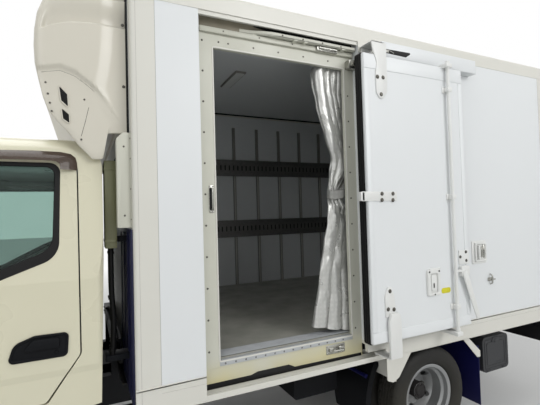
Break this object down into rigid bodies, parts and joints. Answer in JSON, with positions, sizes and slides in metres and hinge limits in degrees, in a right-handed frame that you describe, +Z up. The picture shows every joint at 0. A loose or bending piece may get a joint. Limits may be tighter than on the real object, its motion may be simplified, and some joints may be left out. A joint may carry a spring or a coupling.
{
  "type": "refrigerated truck",
  "caption": "Light refrigerated truck: wide tilt cab, insulated box with a parked-open side door, curtain, nose cooling unit, twin rear wheels, steering, opening doors.",
  "frame": {"origin": "on the ground under the middle of the truck's box", "axes": "+X forward, +Y to the truck's left, +Z up"},
  "size_m": [5.393, 2.6, 2.8959],
  "materials": {
    "box_skin": "gloss white outer skin",
    "cab_paint": "pearl cream gloss",
    "cast_metal": "as cast",
    "chassis_paint": "satin dark blue-black chassis paint",
    "curtain_vinyl": "silver grey coated cloth",
    "dark_plastic": "fine grain",
    "exhaust_steel": "dull, heat stained",
    "fitting_paint": "white painted steel",
    "floor_metal": "ribbed grey floor",
    "frame_paint": "grey beige",
    "lamp_clear": "clear lens",
    "lamp_red": "ribbed lens",
    "lashing_metal": "brushed",
    "lock_steel": "zinc plated",
    "mudguard_rubber": "dull",
    "rail_metal": "dull extrusion",
    "rim_paint": "silver",
    "seat_cloth": "woven grey",
    "tank_paint": "satin black",
    "trim_white": "white painted extrusion",
    "tyre_rubber": "matt",
    "unit_shell": "gelcoat",
    "window_glass": "green tinted"
  },
  "bodies": {
    "chassis": {"chassis_frame": "chassis_paint", "engine_and_driveline": "cast_metal", "front_axle": "chassis_paint", "rear_axle": "chassis_paint", "fuel_tank": "tank_paint", "battery_box": "dark_plastic", "tool_box": "dark_plastic", "exhaust": "exhaust_steel", "mudguards": "mudguard_rubber", "rear_bumper": "chassis_paint", "tail_lamps": "lamp_red", "front_bumper": "cab_paint", "box_floor": "floor_metal", "box_front_wall": "box_skin", "box_roof": "box_skin", "box_right_wall": "box_skin", "box_left_wall": "box_skin", "box_frame": "trim_white", "side_skirts": "trim_white", "door_frame": "frame_paint", "door_rails": "rail_metal", "side_door": "box_skin", "side_door_fittings": "fitting_paint", "refrigeration_unit": "unit_shell", "evaporator": "box_skin", "pipe_covers": "trim_white", "inner_rails": "lashing_metal", "curtain": "curtain_vinyl"},
    "cab": {"cab_shell": "cab_paint", "cab_glass": "window_glass", "front_panel": "dark_plastic", "headlamps": "lamp_clear", "dashboard": "dark_plastic", "seats": "seat_cloth", "steering_wheel": "dark_plastic", "mirrors": "dark_plastic"},
    "left_cab_door": {"cab_door_left": "cab_paint", "door_glass_left": "window_glass"},
    "right_cab_door": {"cab_door_right": "cab_paint", "door_glass_right": "window_glass"},
    "left_knuckle": {"knuckle_left": "cast_metal"},
    "right_knuckle": {"knuckle_right": "cast_metal"},
    "left_front_wheel": {"front_tyre_left": "tyre_rubber", "front_rim_left": "rim_paint"},
    "right_front_wheel": {"front_tyre_right": "tyre_rubber", "front_rim_right": "rim_paint"},
    "left_rear_wheels": {"rear_tyres_left": "tyre_rubber", "rear_rims_left": "rim_paint"},
    "right_rear_wheels": {"rear_tyres_right": "tyre_rubber", "rear_rims_right": "rim_paint"},
    "left_rear_door": {"rear_door_left": "box_skin", "rear_locks_left": "lock_steel"},
    "right_rear_door": {"rear_door_right": "box_skin", "rear_locks_right": "lock_steel"}
  },
  "joints": [
    {"name": "cab_tilt", "type": "hinge", "parent": "chassis", "child": "cab", "pos_m": [2.5285, 0, 0.75], "axis": [0, 1, 0], "range_deg": [0, 45]},
    {"name": "left_cab_door_hinge", "type": "hinge", "parent": "cab", "child": "left_cab_door", "pos_m": [2.4255, 0.9975, 1], "axis": [0, 0, -1], "range_deg": [0, 70]},
    {"name": "right_cab_door_hinge", "type": "hinge", "parent": "cab", "child": "right_cab_door", "pos_m": [2.4255, -0.9975, 1], "axis": [0, 0, 1], "range_deg": [0, 70]},
    {"name": "left_steering", "type": "hinge", "parent": "chassis", "child": "left_knuckle", "pos_m": [1.6165, 0.69, 0.347], "axis": [0, 0, 1], "range_deg": [-35, 35]},
    {"name": "right_steering", "type": "hinge", "parent": "chassis", "child": "right_knuckle", "pos_m": [1.6165, -0.69, 0.347], "axis": [0, 0, 1], "range_deg": [-35, 35]},
    {"name": "left_front_wheel_spin", "type": "hinge", "parent": "left_knuckle", "child": "left_front_wheel", "pos_m": [1.6165, 0.83, 0.347], "axis": [0, 1, 0], "continuous": true},
    {"name": "right_front_wheel_spin", "type": "hinge", "parent": "right_knuckle", "child": "right_front_wheel", "pos_m": [1.6165, -0.83, 0.347], "axis": [0, 1, 0], "continuous": true},
    {"name": "left_rear_wheels_spin", "type": "hinge", "parent": "chassis", "child": "left_rear_wheels", "pos_m": [-1.1835, 0.806, 0.347], "axis": [0, 1, 0], "continuous": true},
    {"name": "right_rear_wheels_spin", "type": "hinge", "parent": "chassis", "child": "right_rear_wheels", "pos_m": [-1.1835, -0.806, 0.347], "axis": [0, 1, 0], "continuous": true},
    {"name": "left_rear_door_hinge", "type": "hinge", "parent": "chassis", "child": "left_rear_door", "pos_m": [-2.6665, 1.1185, 1.8], "axis": [0, 0, -1], "range_deg": [0, 255]},
    {"name": "right_rear_door_hinge", "type": "hinge", "parent": "chassis", "child": "right_rear_door", "pos_m": [-2.6665, -1.1185, 1.8], "axis": [0, 0, 1], "range_deg": [0, 255]}
  ],
  "couplings": [
    {"joint": "right_steering", "follows": "left_steering", "ratio": 1}
  ]
}
